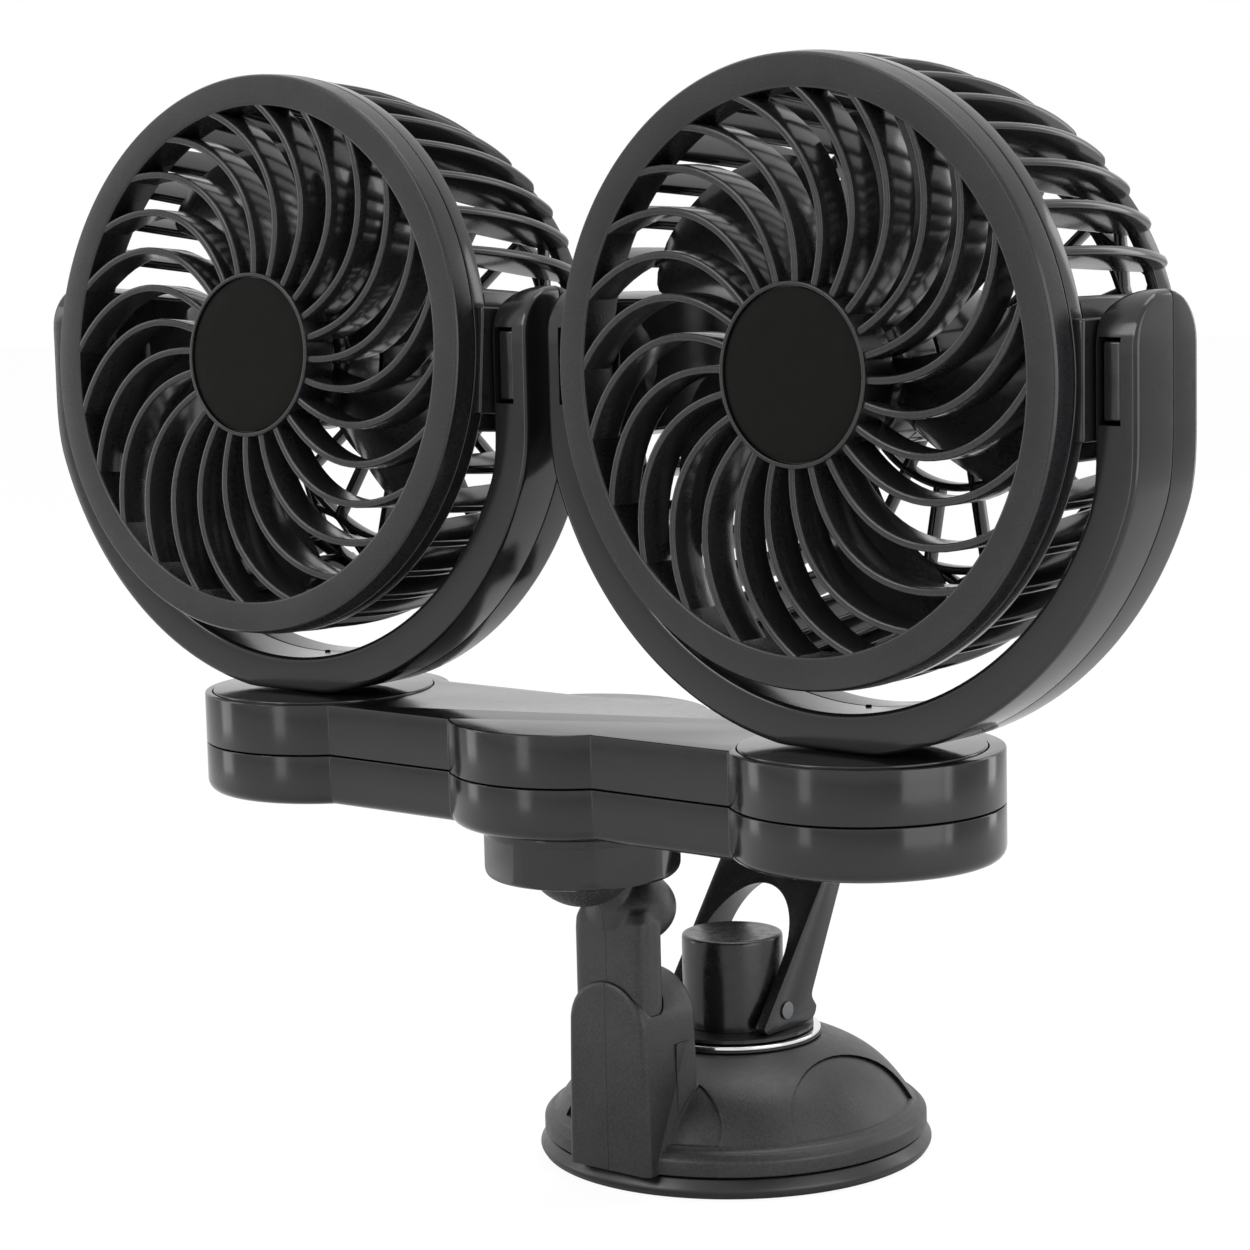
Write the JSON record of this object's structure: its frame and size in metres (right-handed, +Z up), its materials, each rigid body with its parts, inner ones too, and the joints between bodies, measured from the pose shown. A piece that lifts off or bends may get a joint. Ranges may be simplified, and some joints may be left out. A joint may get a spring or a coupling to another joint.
{
  "type": "dual head fan",
  "caption": "Dashboard fan with paired swirl-grille heads in swivelling yokes on a bar, carried by a ball-jointed arm on a lever suction base",
  "frame": {"origin": "centre of the suction cup's flat underside", "axes": "+Z up, +X to the right of someone facing the fans, -Y the way the fans blow"},
  "size_m": [0.278, 0.1169, 0.2292],
  "materials": {
    "gloss_black": "polished black ABS",
    "grille_black": "semi-gloss black ABS",
    "badge": "bare satin disc",
    "satin_black": "fine-grained black",
    "inner_black": "plain",
    "rubber": "smooth",
    "bright": "polished",
    "steel": "plain"
  },
  "bodies": {
    "base": {"suction_cup": "rubber", "base_housing": "satin_black", "bright_ring": "bright", "ring_washer": "inner_black", "ball_arm": "satin_black"},
    "post": {"suction_post": "satin_black", "lever_pin": "steel"},
    "lever": {"lever": "satin_black"},
    "seat_cap": {"ball_cap": "inner_black"},
    "seat_collet": {"ball_collet": "inner_black"},
    "bar": {"upper_shell": "gloss_black", "lower_shell": "gloss_black", "bar_screw_1": "steel", "bar_screw_2": "steel", "bar_screw_3": "steel", "bar_screw_4": "steel"},
    "nut": {"collar_nut": "gloss_black"},
    "left_yoke": {"turntable_left": "gloss_black", "retainer_left": "inner_black", "yoke_front_left": "gloss_black", "yoke_rear_left": "gloss_black", "yoke_screw_left_1": "steel", "yoke_screw_left_2": "steel"},
    "left_head": {"front_grille_left": "grille_black", "hub_badge_left": "badge", "rear_housing_left": "gloss_black", "motor_left": "steel", "tilt_pivot_left_left": "gloss_black", "tilt_pivot_left_right": "gloss_black"},
    "left_rotor": {"motor_shaft_left": "steel", "impeller_left": "gloss_black"},
    "right_yoke": {"turntable_right": "gloss_black", "retainer_right": "inner_black", "yoke_front_right": "gloss_black", "yoke_rear_right": "gloss_black", "yoke_screw_right_1": "steel", "yoke_screw_right_2": "steel"},
    "right_head": {"front_grille_right": "grille_black", "hub_badge_right": "badge", "rear_housing_right": "gloss_black", "motor_right": "steel", "tilt_pivot_right_left": "gloss_black", "tilt_pivot_right_right": "gloss_black"},
    "right_rotor": {"motor_shaft_right": "steel", "impeller_right": "gloss_black"}
  },
  "joints": [
    {"name": "lever_flip", "type": "hinge", "parent": "post", "child": "lever", "pos_m": [0, 0, 0.031], "axis": [-1, 0, 0], "range_deg": [0, 40]},
    {"name": "post_lift", "type": "slide", "parent": "base", "child": "post", "axis": [0, 0, 1], "range_m": [0, 0.0053]},
    {"name": "bar_nod", "type": "hinge", "parent": "base", "child": "seat_cap", "pos_m": [0, -0.0484, 0.0729], "axis": [1, 0, 0], "range_deg": [-6, 30]},
    {"name": "bar_lean", "type": "hinge", "parent": "seat_cap", "child": "seat_collet", "pos_m": [0, -0.0484, 0.0729], "axis": [0, 1, 0], "range_deg": [-12, 12]},
    {"name": "bar_swivel", "type": "hinge", "parent": "seat_collet", "child": "bar", "pos_m": [0, -0.0484, 0.0729], "axis": [0, 0, 1], "range_deg": [-50, 50]},
    {"name": "nut_turn", "type": "hinge", "parent": "bar", "child": "nut", "pos_m": [0, -0.0484, 0.0729], "axis": [0, 0, 1], "range_deg": [0, 360]},
    {"name": "left_yoke_swivel", "type": "hinge", "parent": "bar", "child": "left_yoke", "pos_m": [-0.07048, -0.0497, 0.1], "axis": [0, 0, 1], "range_deg": [-151.1, 148.9]},
    {"name": "left_head_tilt", "type": "hinge", "parent": "left_yoke", "child": "left_head", "pos_m": [-0.07048, -0.0497, 0.1704], "axis": [0.9998, 0.0192, 0], "range_deg": [-85.1, 94.9]},
    {"name": "left_rotor_spin", "type": "hinge", "parent": "left_head", "child": "left_rotor", "pos_m": [-0.07048, -0.0497, 0.1704], "axis": [0.0191, -0.9962, 0.0854], "continuous": true},
    {"name": "right_yoke_swivel", "type": "hinge", "parent": "bar", "child": "right_yoke", "pos_m": [0.07048, -0.0497, 0.1], "axis": [0, 0, 1], "range_deg": [-147.5, 152.5]},
    {"name": "right_head_tilt", "type": "hinge", "parent": "right_yoke", "child": "right_head", "pos_m": [0.07048, -0.0497, 0.1704], "axis": [0.999, -0.0436, 0], "range_deg": [-89.5, 90.5]},
    {"name": "right_rotor_spin", "type": "hinge", "parent": "right_head", "child": "right_rotor", "pos_m": [0.07048, -0.0497, 0.1704], "axis": [-0.0436, -0.999, 0.0087], "continuous": true}
  ],
  "couplings": [
    {"joint": "post_lift", "follows": "lever_flip", "m_per_rad": 0.00759}
  ]
}
